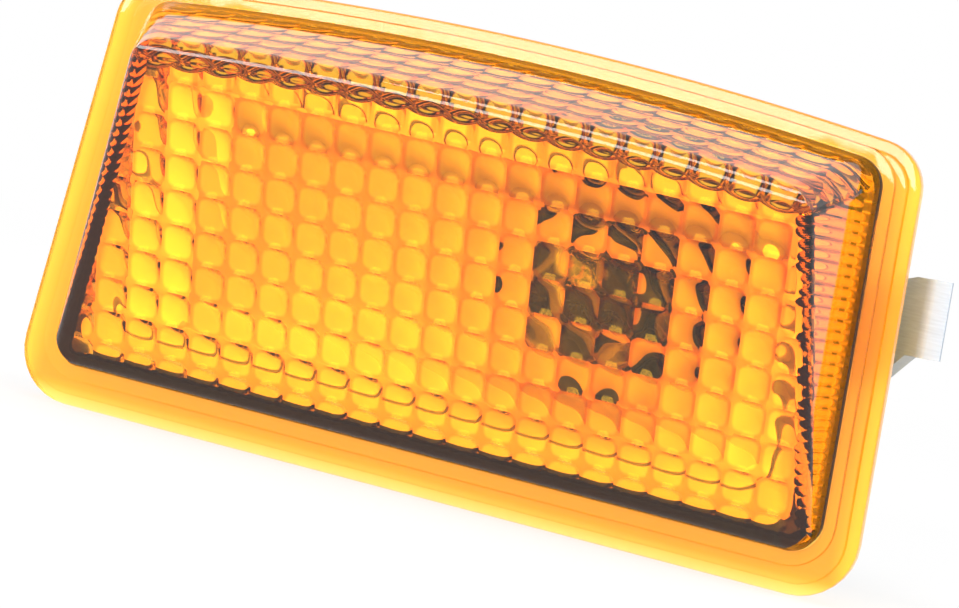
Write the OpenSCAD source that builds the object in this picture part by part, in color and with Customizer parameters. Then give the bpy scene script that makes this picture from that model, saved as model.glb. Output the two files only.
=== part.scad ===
// Side repeater lamp for a vehicle body, in millimetres.
// The lamp stands as it is fitted: x runs along the lamp, y runs back into the body panel, z is up.
// The origin is the middle of the seat plane, where the back of the flange meets the panel.

/* [Flange] */
// Width of the flange, measured halfway up
flange_w = 74.6; // [68:0.1:84]
// Height of the flange from its straight bottom edge to the crown of its arched top
flange_h = 40.2; // [38.5:0.1:46]
// Thickness of the flange
flange_t = 2; // [1.8:0.1:3]
// Angle by which each end leans in toward the top
side_lean = 3.4; // [0:0.1:6]
// Radius of the arched top edges
arch_r = 310; // [200:5:600]
// Corner radius at the bottom of the flange
flange_r_bottom = 5; // [2:0.1:7]
// Corner radius at the top of the flange
flange_r_top = 4; // [2:0.1:6]
// Width of the small step round the rim of the flange
rim_w = 1; // [0.4:0.1:1.5]
// Depth of that step below the front of the flange
rim_step = 0.6; // [0.2:0.1:1]

/* [Lens body] */
// Flange showing outside the foot of the body at each end
margin_side = 3.2; // [2.5:0.1:5]
// Flange showing below the foot of the body
margin_bottom = 3.55; // [2.5:0.1:5]
// Flange showing above the foot of the body
margin_top = 1.8; // [1.2:0.1:4]
// Height of the low bottom wall in front of the flange
foot_h = 2.3; // [1.5:0.1:4]
// Angle between the front face and the seat plane
face_tilt = 25.2; // [20:0.2:28]
// Lean of the top wall toward the front
top_lean = 15.3; // [12:0.1:18]
// Lean of the right wall toward the front
right_lean = 10.3; // [5:0.1:18]
// Lean of the left wall toward the front
left_lean = 20.7; // [8:0.1:24]
// Lean of the bottom wall toward the front
bottom_lean = 9; // [4:0.5:14]
// Radius of the edges that run back from the corners of the front face
corner_r = 2.6; // [1.5:0.1:4]
// Radius of the edges round the front face
edge_r = 1.3; // [0.6:0.1:2]
// Width of the small fillet step round the foot of the body
foot_step_w = 1.2; // [0.5:0.1:1.6]
// Height of that step
foot_step_h = 0.35; // [0.2:0.05:0.8]

/* [Lens walls and optics] */
// Thickness of the front face down to the valleys between the pillows
face_wall = 2.3; // [1.8:0.1:2.8]
// Thickness of the end walls
side_wall = 1.8; // [1.4:0.1:2.4]
// Thickness of the top wall
top_wall = 2; // [1.6:0.1:2.6]
// Thickness of the bottom wall
bottom_wall = 1.9; // [1.5:0.1:2.4]
// Width of a pillow along the lamp
pillow_w = 3; // [2.5:0.1:5]
// Height of a pillow up the front face
pillow_h = 3.26; // [2.5:0.02:5]
// Depth of a pillow along the top wall
pillow_d = 2.83; // [2.4:0.01:4]
// Height of the pillows above their valleys
pillow_rise = 0.55; // [0.3:0.05:0.7]
// Place of one valley line along the lamp, from the middle
pillow_shift_x = -0.72; // [-1.5:0.01:1.5]
// Place of one valley line up the face, from its bottom edge
pillow_shift_y = 1.99; // [0.5:0.01:3]
// Rows of pillows on the top wall
top_rows = 5; // [3:1:5]
// Pitch of the fine flutes on the end and bottom walls
flute_pitch = 0.9; // [0.7:0.05:1.5]
// Height of the flutes
flute_rise = 0.2; // [0.1:0.05:0.25]

/* [Housing] */
// Thickness of the housing's front ring, which is welded inside the foot of the lens
ring_t = 1.2; // [1:0.1:1.3]
// Depth of the rebate in the lens and ring that holds the gasket
gasket_rebate = 0.6; // [0.3:0.1:0.8]
// Thickness of the gasket
gasket_t = 1; // [0.8:0.1:1.6]
// Width of the ring's land outside the tub
ring_land = 1.5; // [1.2:0.1:2.5]
// Distance from the seat to the back of the tub
tub_depth = 19; // [17.5:0.5:24]
// Wall of the tub
tub_wall = 1.6; // [1.2:0.1:2]
// Corner radius of the tub
tub_r = 4; // [3:0.5:5.5]
// Distance from the seat to the hook and to the clip's lip, which hold the edge of the panel
grip = 4.8; // [3:0.1:6]
// Reach of the hook past the left end of the tub
hook_reach = 5.5; // [3:0.1:6.5]
// Width of the hook
hook_w = 12; // [8:0.5:16]
// Thickness of the hook
hook_t = 2.6; // [2:0.1:3.5]
// Thickness of the stiffening ribs
rib_t = 1.2; // [0.8:0.1:1.6]
// Height of the stiffening ribs on the back wall
rib_h = 2; // [1:0.1:3]

/* [Bulb and holder] */
// Place of the bulb along the lamp, from the middle
bulb_x = 10.5; // [4:0.1:14]
// Diameter of the glass envelope
bulb_d = 10.2; // [9.5:0.1:10.3]
// Overall length of the bulb
bulb_l = 26.8; // [25.5:0.1:27]
// Width of the pinched wedge base
wedge_w = 9.5; // [9:0.1:9.8]
// Thickness of the wedge base
wedge_t = 2.1; // [2:0.05:2.4]
// Length of the wedge base
wedge_l = 7.2; // [6.5:0.1:8]
// Length of the bulb in front of the seat plane
bulb_tip = 4; // [2.5:0.1:4.5]
// Diameter of the holder's barrel
barrel_d = 15.4; // [14.8:0.1:16.4]
// Diameter of the holder over its lugs
lug_d = 18.2; // [17.6:0.1:19]
// Width of a lug
lug_w = 4; // [3:0.1:5]
// Thickness of a lug
lug_t = 1.8; // [1.4:0.1:2]
// Diameter of the holder's flange
holder_flange_d = 22.5; // [21.5:0.1:24]
// Thickness of the holder's flange
holder_flange_t = 2; // [1.6:0.1:3]
// Length of the neck behind the tub
neck_l = 3.6; // [2.5:0.1:5]
// Wall of the neck
neck_wall = 2.4; // [2.2:0.1:3]
// Thickness of the holder's sealing ring
seal_t = 1.4; // [1:0.1:2]
// Width of the socket for the plug
socket_w = 14; // [13:0.1:16]
// Height of the socket
socket_h = 10; // [9.8:0.1:12]
// Length of the socket behind the holder's flange
socket_l = 11; // [9:0.5:14]
// Wall of the socket
socket_wall = 1.4; // [1:0.1:1.6]
// Width of a contact blade
blade_w = 2.8; // [2:0.1:3]
// Thickness of a contact blade
blade_t = 0.6; // [0.4:0.1:0.8]

/* [Reflector] */
// Thickness of the reflector
reflector_t = 1; // [0.8:0.1:1.2]
// Radius of the reflector's curved floor
dish_r = 60; // [50:1:90]
// Depth of that floor behind the seat at the bulb
dish_depth = 9; // [8:0.1:9.5]
// Diameter of the bulb's hole in the reflector
bulb_hole_d = 13; // [12:0.1:14]

/* [Spring clip] */
// Thickness of the spring strip
clip_t = 0.7; // [0.5:0.05:1]
// Angle of the clip's arm to the end wall
clip_angle = 45; // [35:1:55]
// Length of the clip's arm
clip_arm = 10.3; // [8:0.1:11]
// Reach of the lip past the arm
clip_lip = 1.3; // [0.8:0.1:2]
// Length of the clip's leg on the end wall
clip_leg = 4.6; // [4:0.1:5]
// Top edge of the strip at the lip, above the middle of the lamp
clip_top = 7.5; // [6:0.1:8]
// Top edge of the strip at the leg
clip_root_top = 6.5; // [5:0.1:7.5]
// Width of the strip at the leg
clip_w = 9.3; // [8:0.1:12]
// Width of the strip at the lip
clip_lip_w = 6.7; // [5:0.1:8]
// Length over which the arm narrows to the lip
clip_taper = 3.5; // [2:0.1:5]
// Diameter of the moulded stake that holds the clip
stake_d = 2.4; // [2:0.1:3]

/* [Fits] */
// Clearance between the housing ring and the lens
weld_gap = 0.15; // [0.1:0.05:0.3]
// Clearance round parts that push or turn into one another
fit_gap = 0.2; // [0.1:0.05:0.3]

/* [Hidden] */
$fn = 64;
arch_fn = 1440;
corner_steps = 8;
edge_steps = 4;
arch_steps = 10;
far = 90;
eps = 0.01;

// Seat plane frame
z_bottom = -flange_h / 2;
z_top = flange_h / 2;
foot_y = -flange_t;

// Foot of the lens body, on the front of the flange
body_half = flange_w / 2 - margin_side;
body_bottom = z_bottom + margin_bottom;
body_top = z_top - margin_top;

// Bottom edge of the front face
edge_y = foot_y - foot_h;
edge_z = body_bottom + foot_h * tan(bottom_lean);

// Directions in the y-z plane: up the front face, and out of it
face_up = [0, -sin(face_tilt), cos(face_tilt)];
face_out = [0, -cos(face_tilt), -sin(face_tilt)];
face_foot = [0, edge_y, edge_z];

// Planes of the walls, each as its outward normal, and a point on it at the foot
right_n = unit([1, -tan(right_lean), tan(side_lean)]);
left_n = unit([-1, -tan(left_lean), tan(side_lean)]);
bottom_n = unit([0, -tan(bottom_lean), -1]);
right_p = [body_half, foot_y, 0];
left_p = [-body_half, foot_y, 0];
bottom_p = [0, foot_y, body_bottom];

// Crown of the front face: where the top wall meets the face in the middle of the lamp
crown_p = [0, foot_y, body_top];
crown_n = unit([0, -sin(top_lean), cos(top_lean)]);
face_h = ((crown_p - face_foot) * crown_n) / (face_up * crown_n);
top_undercut = face_tilt - top_lean;

// Flat roof of the hollow under the arched top wall
roof_span = 0.8 * body_half;
roof_drop = roof_span * roof_span / (2 * arch_r);
roof_p = crown_p - (top_wall + roof_drop) * crown_n;

// Ring, gasket and tub
gasket_front = -gasket_rebate;
ring_front = gasket_front - ring_t;
ring_gap = flute_rise + weld_gap;
ring_half = min(inner_half(right_n, right_lean), inner_half(left_n, left_lean)) - ring_gap;
ring_bottom = body_bottom - (ring_front - foot_y) * tan(bottom_lean) + bottom_wall / cos(bottom_lean) + ring_gap;
ring_top = body_top + (ring_front - foot_y) * tan(top_lean) - (top_wall + roof_drop) / cos(top_lean) - ring_gap;
ring_r = 2.5;
inner_r = max(corner_r - side_wall, 0.5);
bed = 0.05;
top_row_start = 0.17;
flute_y = gasket_front;
rim_seat = 0.8;
rim_ledge = 0.9;
tub_half = ring_half - ring_land;
tub_bottom = ring_bottom + ring_land;
tub_top = ring_top - ring_land;
bulb_z = (tub_bottom + tub_top) / 2;

// Holder and bulb along the bulb's axis
neck_end = tub_depth + neck_l;
seal_end = neck_end + seal_t;
flange_end = seal_end + holder_flange_t;
socket_end = flange_end + socket_l;
socket_floor = flange_end + 0.8;
barrel_rim = 2;
bulb_end = bulb_l - bulb_tip;
wedge_front = bulb_end - wedge_l;
neck_bore = barrel_d + 2 * fit_gap;
neck_d = neck_bore + 2 * neck_wall;
ledge_front = tub_depth - tub_wall;
lug_back = ledge_front - fit_gap;
blade_x = wedge_w / 4;
blade_front = wedge_front + 1;
blade_end = socket_end - 2;
pocket_end = bulb_end + fit_gap;

// Spring clip, drawn from above in the frame of the right end wall
lip_front = grip + 0.3;
bend_r = 0.6;
lip_back = lip_front + clip_t + bend_r;
leg_front = lip_back + clip_arm * cos(clip_angle);
stake_y = leg_front + clip_leg * 0.6;
stake_z = clip_root_top - clip_w / 2;
stake_head = 0.8;

function unit(v) = v / norm(v);

// Half width between the inner faces of the end walls at the front of the ring
function inner_half(n, lean) = body_half + (ring_front - foot_y) * tan(lean) - side_wall / abs(n[0]);

// Larger root of q*t*t - 2*b*t + c = 0
function larger_root(q, b, c) = (b + sqrt(b * b - q * c)) / q;

// A point that lies on both of two planes, each given by its normal and a point
function meet(n_a, p_a, n_b, p_b) = let (
    along = n_b - (n_a * n_b) * n_a
) p_a + along * (((p_b - p_a) * n_b) / (along * n_b));

// Point of the face plane that lies a given depth behind the middle of the face's bottom edge
function foot_at(depth) = face_foot - depth * face_out;

// Corner of the front face where an end wall meets the arched rim, as a place along x and up the face
function face_corner(n, p) = let (
    slope = (face_up * n) / n[0],
    start = ((p - face_foot) * n) / n[0],
    centre = face_h - arch_r,
    v = larger_root(1 + slope * slope, centre + start * slope, start * start + centre * centre - arch_r * arch_r)
) [start - v * slope, v];

// Turns a shape drawn along z so that it lies on the bulb's axis and runs back from depth y
module on_bulb_axis(y) {
    translate([bulb_x, y, bulb_z])
        rotate([-90, 0, 0])
            children();
}

// Points along an arc, from one angle to another
function arc(centre, r, from, to, steps) = [
    for (i = [0:steps]) centre + r * [cos(from + (to - from) * i / steps), sin(from + (to - from) * i / steps)]
];

// Right half of an outline like the flange's: straight bottom, leaning end, arched top, round corners
function half_outline(half, bottom, top, r_bottom, r_top) = let (
    lean = tan(side_lean),
    arch_c = [0, top - arch_r],
    low_c = [half - lean * (bottom + r_bottom) - r_bottom / cos(side_lean), bottom + r_bottom],
    a = half - r_top / cos(side_lean),
    q = 1 + lean * lean,
    high_z = larger_root(q, a * lean + arch_c[1], a * a + pow(arch_c[1], 2) - pow(arch_r - r_top, 2)),
    high_c = [a - lean * high_z, high_z],
    turn = atan2(high_c[1] - arch_c[1], high_c[0])
) concat(
    arc(low_c, r_bottom, -90, side_lean, corner_steps),
    arc(high_c, r_top, side_lean, turn, corner_steps),
    arc(arch_c, arch_r, turn, 90, arch_steps)
);

// Upright slab between two depths, with that outline
module slab(y_front, y_back, half, bottom, top, r_bottom, r_top) {
    right = half_outline(half, bottom, top, r_bottom, r_top);
    left = [for (i = [len(right) - 2:-1:0]) [-right[i][0], right[i][1]]];
    translate([0, y_back, 0])
        rotate([90, 0, 0])
            linear_extrude(height = y_back - y_front)
                polygon(concat(right, left));
}

// Frame on the edge of two planes: x out of the first plane, y away from the second, z along the edge
module edge_frame(n_a, p_a, n_b, p_b) {
    p = meet(n_a, p_a, n_b, p_b);
    d = unit(cross(n_a, n_b));
    side = cross(d, n_a);
    multmatrix([
        [n_a[0], side[0], d[0], p[0]],
        [n_a[1], side[1], d[1], p[1]],
        [n_a[2], side[2], d[2], p[2]],
        [0, 0, 0, 1]
    ])
        children();
}

// Outline of what lies inside the two planes in that frame, with the given points for its edge
function inside_two(turn, edge) = concat([[-far * sin(turn), far * cos(turn)], [-far, -far], [0, -far]], edge);

// Everything on the inner side of two planes, with their edge rounded to radius r
module wedge(n_a, p_a, n_b, p_b, r) {
    turn = acos(n_a * n_b);
    t = r * tan(turn / 2);
    edge_frame(n_a, p_a, n_b, p_b) {
        linear_extrude(height = 2 * far, center = true)
            polygon(inside_two(turn, [[0, -t], [-t * sin(turn), t * cos(turn)]]));
        translate([-r, -t, 0]) cylinder(r = r, h = 2 * far, center = true);
    }
}

// The same for a wall and the front face, whose edge is rounded in narrow flats
module front_edge(n, p) {
    turn = acos(n * face_out);
    t = edge_r * tan(turn / 2);
    edge_frame(n, p, face_out, face_foot)
        linear_extrude(height = 2 * far, center = true)
            polygon(inside_two(turn, arc([-edge_r, -t], edge_r, 0, turn, edge_steps)));
}

// Disc whose rim is the arched top wall: its flat side is the front face, its rim leans in with depth
module arch_disc() {
    thick = far / 2;
    lean = top_undercut;
    t = edge_r * tan(45 + lean / 2);
    translate(face_foot)
        rotate([90 + face_tilt, 0, 0])
            translate([0, face_h - arch_r, 0]) {
                rotate_extrude($fn = arch_fn)
                    translate([arch_r, 0])
                        polygon([
                            [-far, 0],
                            [-t, 0],
                            [-t * sin(lean), -t * cos(lean)],
                            [-thick * tan(lean), -thick],
                            [-far, -thick]
                        ]);
                rotate_extrude($fn = arch_fn)
                    translate([arch_r - t, -edge_r]) circle(edge_r);
            }
}

// Normal of the arched top wall at a point along x
function arch_normal(u) = let (
    side = u / arch_r,
    radial = [side, 0, 0] + sqrt(1 - side * side) * face_up
) cos(top_undercut) * radial - sin(top_undercut) * face_out;

// End wall joined to the top wall by a rounded edge
module top_corner(n, p) {
    uv = face_corner(n, p);
    corner = face_foot + [uv[0], 0, 0] + uv[1] * face_up;
    wedge(n, p, arch_normal(uv[0]), corner, corner_r);
}

// Solid form of the lens body, running back past the seat
module body_form() {
    intersection() {
        front_edge(right_n, right_p);
        front_edge(left_n, left_p);
        front_edge(bottom_n, bottom_p);
        wedge(right_n, right_p, bottom_n, bottom_p, corner_r);
        wedge(left_n, left_p, bottom_n, bottom_p, corner_r);
        top_corner(right_n, right_p);
        top_corner(left_n, left_p);
        arch_disc();
    }
}

// Row of round humps that rise toward -y from valley lines at y = 0
module humps(from, to, pitch, rise, shift) {
    r = (pow(pitch / 2, 2) + rise * rise) / (2 * rise);
    first = floor((from - shift) / pitch);
    last = ceil((to - shift) / pitch) - 1;
    intersection() {
        translate([shift + first * pitch, -2 * rise])
            square([(last + 1 - first) * pitch, 2 * rise + 2 * bed]);
        for (i = [first:last]) {
            translate([shift + (i + 0.5) * pitch, r - rise])
                circle(r);
        }
    }
}

// Pillows on the back of the front face
module face_pillows() {
    half = body_half + 1;
    translate(foot_at(face_wall))
        rotate([90 + face_tilt, 0, 0])
            intersection() {
                translate([0, face_h, 0])
                    rotate([90, 0, 0])
                        linear_extrude(height = face_h + 2)
                            humps(-half, half, pillow_w, pillow_rise, pillow_shift_x);
                translate([-half, 0, 0])
                    rotate([90, 0, 90])
                        linear_extrude(height = 2 * half)
                            humps(-1, face_h, pillow_h, pillow_rise, pillow_shift_y);
            }
}

// Pillows under the top wall, in columns that line up with the face's
module top_pillows() {
    half = body_half + 1;
    reach = top_rows * pillow_d;
    back = [0, crown_n[2], -crown_n[1]];
    start = meet(crown_n, roof_p, face_out, foot_at(face_wall));
    multmatrix([
        [1, 0, 0, 0],
        [0, crown_n[1], -back[1], start[1]],
        [0, crown_n[2], -back[2], start[2]],
        [0, 0, 0, 1]
    ])
        intersection() {
            translate([0, 0, -reach])
                linear_extrude(height = reach + 1)
                    humps(-half, half, pillow_w, pillow_rise, pillow_shift_x);
            translate([-half, 0, 0])
                rotate([0, 90, 0])
                    linear_extrude(height = 2 * half)
                        humps(0, reach, pillow_d, pillow_rise, -pillow_d * top_row_start);
        }
}

// Fine flutes that run forward over one inner wall with outward normal n, through p
module flutes(n, p, forward, reach) {
    across = cross(n, forward);
    multmatrix([
        [across[0], n[0], forward[0], p[0]],
        [across[1], n[1], forward[1], p[1]],
        [across[2], n[2], forward[2], p[2]],
        [0, 0, 0, 1]
    ])
        linear_extrude(height = far)
            humps(-reach, reach, flute_pitch, flute_rise, 0);
}

module wall_flutes() {
    start = flute_y - foot_y;
    flutes(right_n, right_p - side_wall * right_n + start * [tan(right_lean), 1, 0],
           unit([-tan(right_lean), -1, 0]), flange_h / 2);
    flutes(left_n, left_p - side_wall * left_n + start * [-tan(left_lean), 1, 0],
           unit([tan(left_lean), -1, 0]), flange_h / 2);
    flutes(bottom_n, bottom_p - bottom_wall * bottom_n + start * [0, 1, -tan(bottom_lean)],
           unit([0, -1, tan(bottom_lean)]), body_half);
}

// Plain hollow of the lens, open at the back; its roof is flat where the outside is arched
module plain_cavity() {
    right = right_p - (side_wall - bed) * right_n;
    left = left_p - (side_wall - bed) * left_n;
    floor_p = bottom_p - (bottom_wall - bed) * bottom_n;
    roof = roof_p + bed * crown_n;
    intersection() {
        wedge(right_n, right, crown_n, roof, inner_r);
        wedge(left_n, left, crown_n, roof, inner_r);
        wedge(right_n, right, bottom_n, floor_p, inner_r);
        wedge(left_n, left, bottom_n, floor_p, inner_r);
        translate(foot_at(face_wall - bed))
            rotate([90 + face_tilt, 0, 0])
                translate([-far, -far, -far])
                    cube([2 * far, 2 * far, far]);
        translate([-far, 1 - far, -far]) cube([2 * far, far, 2 * far]);
    }
}

// Hollow of the lens, with its optics left standing
module cavity() {
    difference() {
        plain_cavity();
        face_pillows();
        top_pillows();
        wall_flutes();
    }
}

module lens() {
    color("darkorange")
        difference() {
            union() {
                slab(foot_y, 0, flange_w / 2 - rim_w, z_bottom + rim_w, z_top - rim_w,
                     flange_r_bottom - rim_w, flange_r_top - rim_w);
                slab(foot_y + rim_step, 0, flange_w / 2, z_bottom, z_top, flange_r_bottom, flange_r_top);
                slab(foot_y - foot_step_h, foot_y + eps, body_half + foot_step_w, body_bottom - foot_step_w,
                     body_top + min(foot_step_w, margin_top - rim_w),
                     corner_r + foot_step_w, corner_r + foot_step_w / 2);
                intersection() {
                    body_form();
                    translate([-far, -far, -far]) cube([2 * far, far - eps, 2 * far]);
                }
            }
            cavity();
            slab(gasket_front, 1, body_half, body_bottom, body_top, corner_r, corner_r);
        }
}

// Slab with the tub's outline, moved in all round
module tub_slab(y_front, y_back, inset) {
    slab(y_front, y_back, tub_half - inset, tub_bottom + inset, tub_top - inset, tub_r - inset, tub_r - inset);
}

// Three equal notches or lugs round the bulb's axis
module round_three() {
    for (turn = [0, 120, 240]) {
        rotate([0, 0, turn]) children();
    }
}

// Neck at the back of the tub, with the bore and notches that take the holder
module neck() {
    on_bulb_axis(ledge_front)
        cylinder(d = neck_d, h = neck_end - ledge_front);
}

module neck_bore() {
    on_bulb_axis(ledge_front - 1)
        cylinder(d = neck_bore, h = neck_end - ledge_front + 2);
    on_bulb_axis(ledge_front - 1)
        round_three()
            translate([0, -lug_w / 2 - fit_gap, 0])
                cube([lug_d / 2 + fit_gap, lug_w + 2 * fit_gap, neck_end - ledge_front + 2]);
}

// Hook at the left end, which reaches behind the edge of the panel
module hook() {
    translate([-tub_half, grip, bulb_z - hook_w / 2])
        linear_extrude(height = hook_w)
            polygon([
                [tub_wall / 2, 0],
                [-hook_reach + 0.6, 0],
                [-hook_reach, 0.5],
                [-hook_reach, hook_t * 0.5],
                [-hook_reach + 1.6, hook_t],
                [tub_wall / 2, hook_t + hook_reach * 0.5]
            ]);
}

// Cross of ribs on the outside of the back wall, left of the neck
module back_ribs() {
    rib_end = bulb_x - neck_d / 2 + 1;
    rib_start = -tub_half + tub_r;
    translate([rib_start, tub_depth - eps, bulb_z - rib_t / 2])
        cube([rib_end - rib_start, rib_h, rib_t]);
    for (i = [1:2]) {
        x = rib_start + (rib_end - rib_start) * i / 3;
        translate([x - rib_t / 2, tub_depth - eps, tub_bottom + tub_r])
            cube([rib_t, rib_h, tub_top - tub_bottom - 2 * tub_r]);
    }
}

// Puts its children in the frame of the right end wall: z up along the wall, x out of it
module on_end_wall() {
    translate([tub_half, 0, 0])
        rotate([0, -side_lean, 0])
            children();
}

// Stake that the clip's leg is pressed over, with its flattened head
module stake() {
    on_end_wall()
        translate([-tub_wall / 2, stake_y, stake_z])
            rotate([0, 90, 0]) {
                cylinder(d = stake_d, h = tub_wall / 2 + clip_t + stake_head);
                translate([0, 0, tub_wall / 2 + clip_t])
                    cylinder(d = stake_d + 1.6, h = stake_head);
            }
}

module housing() {
    color("#201c1c") {
        difference() {
            union() {
                slab(ring_front, gasket_front, ring_half, ring_bottom, ring_top, ring_r, ring_r);
                tub_slab(gasket_front - eps, tub_depth, 0);
                neck();
                hook();
                back_ribs();
                stake();
            }
            tub_slab(ring_front - 1, tub_depth - tub_wall, tub_wall);
            tub_slab(ring_front - 1, ring_front + rim_seat, tub_wall - rim_ledge);
            neck_bore();
        }
    }
}

// Upright roll whose surface is the curved floor of the reflector
module floor_roll(wall) {
    translate([bulb_x, dish_depth - dish_r, bulb_z])
        cylinder(r = dish_r + wall, h = 2 * flange_h, center = true, $fn = 360);
}

module reflector() {
    color("#e8e4da")
        difference() {
            union() {
                tub_slab(ring_front, ring_front + rim_seat, tub_wall - rim_ledge + fit_gap);
                intersection() {
                    tub_slab(ring_front + eps, dish_depth + 2 * reflector_t, tub_wall + fit_gap);
                    floor_roll(reflector_t);
                }
            }
            intersection() {
                tub_slab(ring_front - 1, dish_depth + 1, tub_wall + fit_gap + reflector_t);
                floor_roll(0);
            }
            on_bulb_axis(0)
                cylinder(d = bulb_hole_d, h = tub_depth);
        }
}

module panel_gasket() {
    color("#2a2a2a")
        difference() {
            slab(gasket_front, gasket_front + gasket_t, body_half - weld_gap, body_bottom + weld_gap,
                 body_top - weld_gap, corner_r, corner_r);
            tub_slab(gasket_front - 1, gasket_front + gasket_t + 1, -fit_gap / 2);
        }
}

// Sealed capless bulb: round glass with a domed tip and a flat pinched base
module bulb() {
    r = bulb_d / 2;
    shoulder = wedge_front + bulb_tip;
    color("#f2ead2")
        on_bulb_axis(-bulb_tip) {
            rotate_extrude()
                intersection() {
                    union() {
                        translate([0, r]) circle(r);
                        translate([0, r]) square([r, shoulder - r - 1.5]);
                        translate([0, shoulder - 2]) square([r - 1.5, 2]);
                        translate([r - 1.5, shoulder - 1.5]) circle(1.5);
                    }
                    square([r, shoulder]);
                }
            translate([-wedge_w / 2, -wedge_t / 2, shoulder - 1])
                cube([wedge_w, wedge_t, wedge_l + 1]);
        }
}

// Twist-in holder: barrel with three lugs, flange, and the socket for the plug behind it
module bulb_holder() {
    barrel_front = wedge_front - barrel_rim;
    color("#303030")
        difference() {
            union() {
                on_bulb_axis(barrel_front)
                    cylinder(d = barrel_d, h = seal_end - barrel_front + eps);
                on_bulb_axis(lug_back - lug_t)
                    rotate([0, 0, 60])
                        round_three()
                            translate([0, -lug_w / 2, 0])
                                intersection() {
                                    cube([lug_d / 2, lug_w, lug_t]);
                                    translate([0, lug_w / 2, 0])
                                        cylinder(d = lug_d, h = lug_t);
                                }
                on_bulb_axis(seal_end)
                    cylinder(d = holder_flange_d, h = holder_flange_t);
                on_bulb_axis(flange_end - eps)
                    translate([-socket_w / 2, -socket_h / 2, 0])
                        cube([socket_w, socket_h, socket_l]);
            }
            on_bulb_axis(barrel_front - 1)
                cylinder(d = bulb_d + 2 * fit_gap, h = barrel_rim + 1 + fit_gap);
            translate([bulb_x - wedge_w / 2 - fit_gap, barrel_front, bulb_z - wedge_t / 2 - fit_gap / 2])
                cube([wedge_w + 2 * fit_gap, pocket_end - barrel_front, wedge_t + fit_gap]);
            for (side = [-1, 1]) {
                contact_slot(side);
            }
            translate([bulb_x - socket_w / 2 + socket_wall, socket_floor, bulb_z - socket_h / 2 + socket_wall])
                cube([socket_w - 2 * socket_wall, socket_l, socket_h - 2 * socket_wall]);
        }
}

// Room for one contact, from the barrel's pocket to the socket
module contact_slot(side) {
    z = side * (wedge_t / 2 + blade_t / 2);
    translate([bulb_x + side * blade_x - blade_w / 2 - fit_gap / 2, blade_front - fit_gap,
               bulb_z + z - blade_t / 2 - fit_gap / 2])
        cube([blade_w + fit_gap, socket_end - blade_front, blade_t + fit_gap]);
}

// Contact strip: bears on the bulb's wedge in front and ends as a chamfered blade in the socket
module contact(side) {
    z = side * (wedge_t / 2 + blade_t / 2);
    tip = 0.6;
    color("#c9a04e")
        translate([bulb_x + side * blade_x, 0, bulb_z + z - blade_t / 2])
            linear_extrude(height = blade_t)
                polygon([
                    [-blade_w / 2, blade_front],
                    [blade_w / 2, blade_front],
                    [blade_w / 2, blade_end - tip],
                    [blade_w / 2 - tip, blade_end],
                    [-blade_w / 2 + tip, blade_end],
                    [-blade_w / 2, blade_end - tip]
                ]);
}

module holder_seal() {
    color("#1c1c1c")
        on_bulb_axis(neck_end)
            difference() {
                cylinder(d = neck_d, h = seal_t);
                translate([0, 0, -1]) cylinder(d = barrel_d + fit_gap, h = seal_t + 2);
            }
}

// Bend of the strip: a ring sector between two angles, as tall as the strip
module bend(r, from, to, h) {
    reach = 4 * (r + clip_t);
    mid = (from + to) / 2;
    intersection() {
        difference() {
            cylinder(r = r + clip_t, h = h);
            translate([0, 0, -1]) cylinder(r = r, h = h + 2);
        }
        linear_extrude(height = h)
            polygon([
                [0, 0],
                reach * [cos(from), sin(from)],
                reach * [cos(mid), sin(mid)],
                reach * [cos(to), sin(to)]
            ]);
    }
}

// The strip before it is trimmed: leg on the wall, arm sprung out toward the front, lip behind the panel
module clip_strip(h) {
    a = clip_angle;
    out = [cos(a), sin(a)];
    along = [sin(a), -cos(a)];
    leg_c = [clip_t + bend_r, leg_front];
    arm_start = leg_c - (bend_r + clip_t) * out;
    arm_end = arm_start + clip_arm * along;
    lip_c = arm_end + (bend_r + clip_t) * out;
    translate([0, leg_front, 0]) cube([clip_t, clip_leg, h]);
    translate(leg_c) bend(bend_r, 180, 180 + a, h);
    linear_extrude(height = h)
        polygon([arm_start, arm_start + clip_t * out, arm_end + clip_t * out, arm_end]);
    translate(lip_c) bend(bend_r, 180 + a, 270, h);
    translate(lip_c - [0, bend_r + clip_t]) cube([clip_lip, clip_t, h]);
}

// Side outline of the strip, drawn y across and z up
module clip_side() {
    leg_end = leg_front + clip_leg;
    polygon([
        [lip_front - 1, clip_top],
        [lip_back, clip_top],
        [lip_back + clip_taper, clip_root_top],
        [leg_end + 1, clip_root_top],
        [leg_end + 1, clip_root_top - clip_w],
        [lip_back + clip_taper, clip_root_top - clip_w],
        [lip_back, clip_top - clip_lip_w],
        [lip_front - 1, clip_top - clip_lip_w]
    ]);
}

module spring_clip() {
    color("#c9ccc8")
        on_end_wall()
            difference() {
                intersection() {
                    translate([0, 0, clip_root_top - clip_w - 1])
                        clip_strip(clip_w + 4);
                    translate([-1, 0, 0])
                        rotate([90, 0, 90])
                            linear_extrude(height = clip_arm + 8)
                                clip_side();
                }
                translate([-1, stake_y, stake_z])
                    rotate([0, 90, 0])
                        cylinder(d = stake_d + fit_gap / 2, h = clip_t + 2);
            }
}

lens();
housing();
reflector();
panel_gasket();
bulb();
bulb_holder();
holder_seal();
contact(1);  // contact_feed
contact(-1);  // contact_earth
spring_clip();
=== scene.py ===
"""Side repeater lamp: the lens as a fine moulded surface, the inside of the bulb, and every finish."""

import math

import bmesh
import bpy
import numpy as np
from mathutils import Matrix, Vector


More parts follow.
